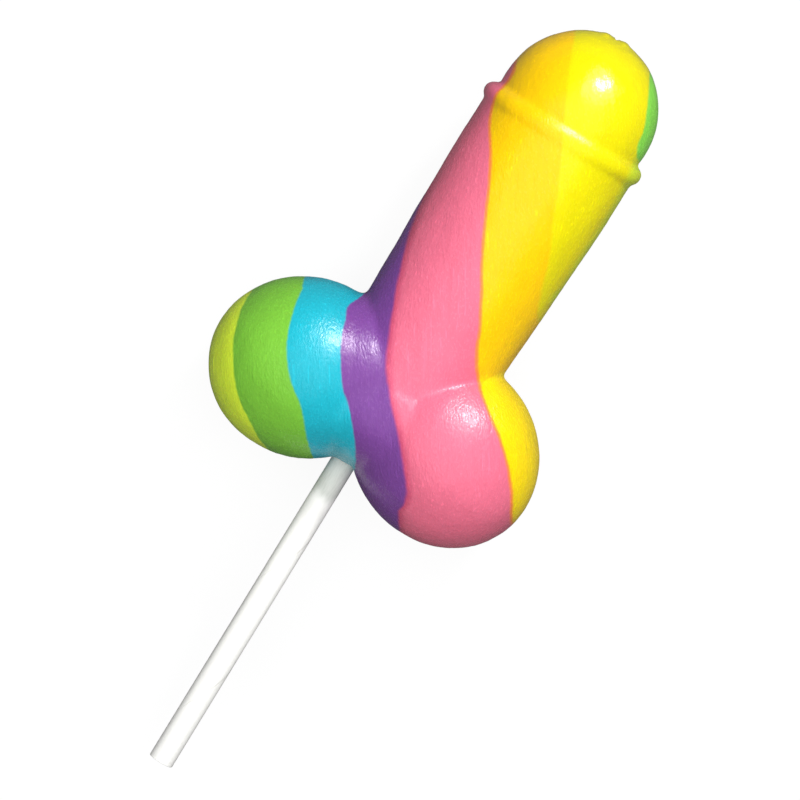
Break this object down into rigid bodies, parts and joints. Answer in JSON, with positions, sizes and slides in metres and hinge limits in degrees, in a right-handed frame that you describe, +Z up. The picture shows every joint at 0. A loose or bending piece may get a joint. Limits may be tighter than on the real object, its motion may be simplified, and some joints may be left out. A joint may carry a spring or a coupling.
{
  "type": "penis lollipop",
  "caption": "Novelty hard candy lollipop: a shaft with a ridge and a rounded tip above round balls, banded in rainbow colours, on a white paper stick.",
  "frame": {"origin": "under the middle of the whole lollipop, on the surface that it lies on", "axes": "+Y along the stick and shaft towards the tip, +Z up through the shown side, +X to the right seen from above with the tip away"},
  "size_m": [0.0552, 0.1324, 0.029],
  "materials": {
    "candy": "gloss",
    "stick": "matte"
  },
  "bodies": {
    "root": {"candy": "candy", "stick": "stick"}
  },
  "joints": []
}
